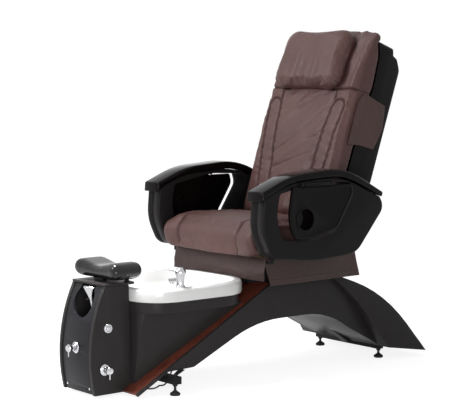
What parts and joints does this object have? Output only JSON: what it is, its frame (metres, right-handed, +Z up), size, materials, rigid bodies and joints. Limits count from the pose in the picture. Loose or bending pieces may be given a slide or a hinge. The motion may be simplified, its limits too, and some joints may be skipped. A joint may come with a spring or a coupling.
{
  "type": "pedicure spa chair",
  "caption": "Reclining massage armchair on an arched base, with a white foot basin, a tap tower, a swivelling footrest pad and flip-up side trays.",
  "frame": {"origin": "on the floor, at the bottom centre of the chair's bounding box", "axes": "+Z up, -Y towards the footrest (the way the sitter faces), +X to the sitter's left"},
  "size_m": [0.773, 1.6301, 1.3684],
  "materials": {
    "leather": "soft grained upholstery leather, satin",
    "leather_sheet": "thin upholstery leather sheet",
    "gloss_black": "polished black",
    "pad_black": "smooth black skinned foam, glossy",
    "satin_black": "satin black, very fine texture",
    "graphite": "satin dark grey",
    "mahogany": "red-brown mahogany veneer, lacquered",
    "plywood": "raw plywood",
    "basin_white": "gloss white acrylic",
    "chrome": "polished chrome plate",
    "frame_steel": "black powder coat",
    "foot_rubber": "black rubber",
    "machine_grey": "moulded grey plastic",
    "bright_steel": "turned bright steel",
    "cast_alloy": "cast aluminium"
  },
  "bodies": {
    "base": {"base_frame": "frame_steel", "front_beam": "frame_steel", "levelling_feet": "foot_rubber", "wood_deck": "mahogany", "side_panel_left": "satin_black", "side_panel_right": "satin_black", "soffit_panel": "satin_black", "rear_fender": "satin_black", "pump_cable": "foot_rubber", "basin_bowl": "basin_white", "basin_flange": "satin_black", "tub_shell": "satin_black", "drain_strainer": "chrome", "jet_cover": "basin_white", "jet_pump": "machine_grey", "faucet_body": "chrome", "tower_side_left": "satin_black", "tower_side_right": "satin_black", "tower_front": "graphite", "tower_top": "satin_black", "tower_base": "frame_steel", "sprayer_holder": "satin_black", "front_valve_body": "chrome", "side_valve_body": "chrome", "button_bezel": "chrome", "tower_screws": "chrome", "footrest_hub": "frame_steel", "seat_pedestal": "frame_steel"},
    "faucet_lever": {"faucet_lever": "chrome"},
    "sprayer": {"sprayer": "chrome"},
    "front_valve": {"front_valve_handle": "chrome"},
    "side_valve": {"side_valve_handle": "chrome"},
    "button": {"air_button": "chrome"},
    "footrest": {"footrest_bracket": "frame_steel", "footrest_pad": "pad_black"},
    "seat": {"seat_frame": "frame_steel", "seat_board": "plywood", "seat_cushion": "leather", "front_apron": "leather_sheet", "skirts": "leather_sheet", "hinge_pins": "bright_steel", "recline_actuator": "machine_grey"},
    "drive_rod": {"actuator_rod": "bright_steel"},
    "back": {"back_frame": "frame_steel", "back_cushion": "leather", "head_pillow": "leather", "back_shell": "satin_black", "side_flaps": "leather_sheet", "massage_motor": "machine_grey"},
    "carriage": {"massage_carriage": "cast_alloy"},
    "screw": {"lead_screw": "bright_steel"},
    "rollers": {"massage_rollers": "machine_grey"},
    "arm_left": {"arm_shell_left": "satin_black", "arm_cap_left": "gloss_black", "tray_hinge_left": "frame_steel"},
    "arm_right": {"arm_shell_right": "satin_black", "arm_cap_right": "gloss_black", "tray_hinge_right": "frame_steel"},
    "tray_left": {"tray_left": "gloss_black"},
    "tray_right": {"tray_right": "gloss_black"}
  },
  "joints": [
    {"name": "seat_slide", "type": "slide", "parent": "base", "child": "seat", "axis": [0, 1, 0], "range_m": [0, 0.1]},
    {"name": "back_recline", "type": "hinge", "parent": "seat", "child": "back", "pos_m": [0, 0.33, 0.5], "axis": [-1, 0, 0], "range_deg": [0, 30]},
    {"name": "drive_extend", "type": "slide", "parent": "seat", "child": "drive_rod", "axis": [0, -1, 0], "range_m": [0, 0.0325]},
    {"name": "massage_travel", "type": "slide", "parent": "back", "child": "carriage", "axis": [0, 0.342, 0.9397], "range_m": [0, 0.36]},
    {"name": "screw_turn", "type": "hinge", "parent": "back", "child": "screw", "pos_m": [0, 0.35225, 0.6196], "axis": [0, 0.342, 0.9397], "range_deg": [0, 3245]},
    {"name": "roller_spin", "type": "hinge", "parent": "carriage", "child": "rollers", "pos_m": [0, 0.35313, 0.70974], "axis": [1, 0, 0], "continuous": true},
    {"name": "arm_lift_left", "type": "hinge", "parent": "seat", "child": "arm_left", "pos_m": [0.287, 0.35, 0.6], "axis": [-1, 0, 0], "range_deg": [0, 75]},
    {"name": "arm_lift_right", "type": "hinge", "parent": "seat", "child": "arm_right", "pos_m": [-0.287, 0.35, 0.6], "axis": [-1, 0, 0], "range_deg": [0, 75]},
    {"name": "tray_flip_left", "type": "hinge", "parent": "arm_left", "child": "tray_left", "pos_m": [0.379, 0.1, 0.767], "axis": [0, -1, 0], "range_deg": [0, 90]},
    {"name": "tray_flip_right", "type": "hinge", "parent": "arm_right", "child": "tray_right", "pos_m": [-0.379, 0.1, 0.767], "axis": [0, 1, 0], "range_deg": [0, 90]},
    {"name": "footrest_swivel", "type": "hinge", "parent": "base", "child": "footrest", "pos_m": [0, -0.663, 0.43], "axis": [0, 0, 1], "range_deg": [-90, 90]},
    {"name": "sprayer_pull", "type": "slide", "parent": "base", "child": "sprayer", "axis": [0, -1, 0], "range_m": [0, 0.12]},
    {"name": "front_valve_turn", "type": "hinge", "parent": "base", "child": "front_valve", "pos_m": [0, -0.79, 0.181], "axis": [0, -1, 0], "range_deg": [0, 90]},
    {"name": "side_valve_turn", "type": "hinge", "parent": "base", "child": "side_valve", "pos_m": [0.12, -0.72, 0.106], "axis": [1, 0, 0], "range_deg": [0, 90]},
    {"name": "button_press", "type": "slide", "parent": "base", "child": "button", "axis": [-1, 0, 0], "range_m": [0, 0.004], "stiffness_N_per_m": 400},
    {"name": "faucet_turn", "type": "hinge", "parent": "base", "child": "faucet_lever", "pos_m": [0.216, -0.453, 0.45], "axis": [0, 0, 1], "range_deg": [-60, 60]}
  ],
  "couplings": [
    {"joint": "drive_extend", "follows": "back_recline", "m_per_rad": 0.0613},
    {"joint": "screw_turn", "follows": "massage_travel", "rad_per_m": 157.08}
  ]
}
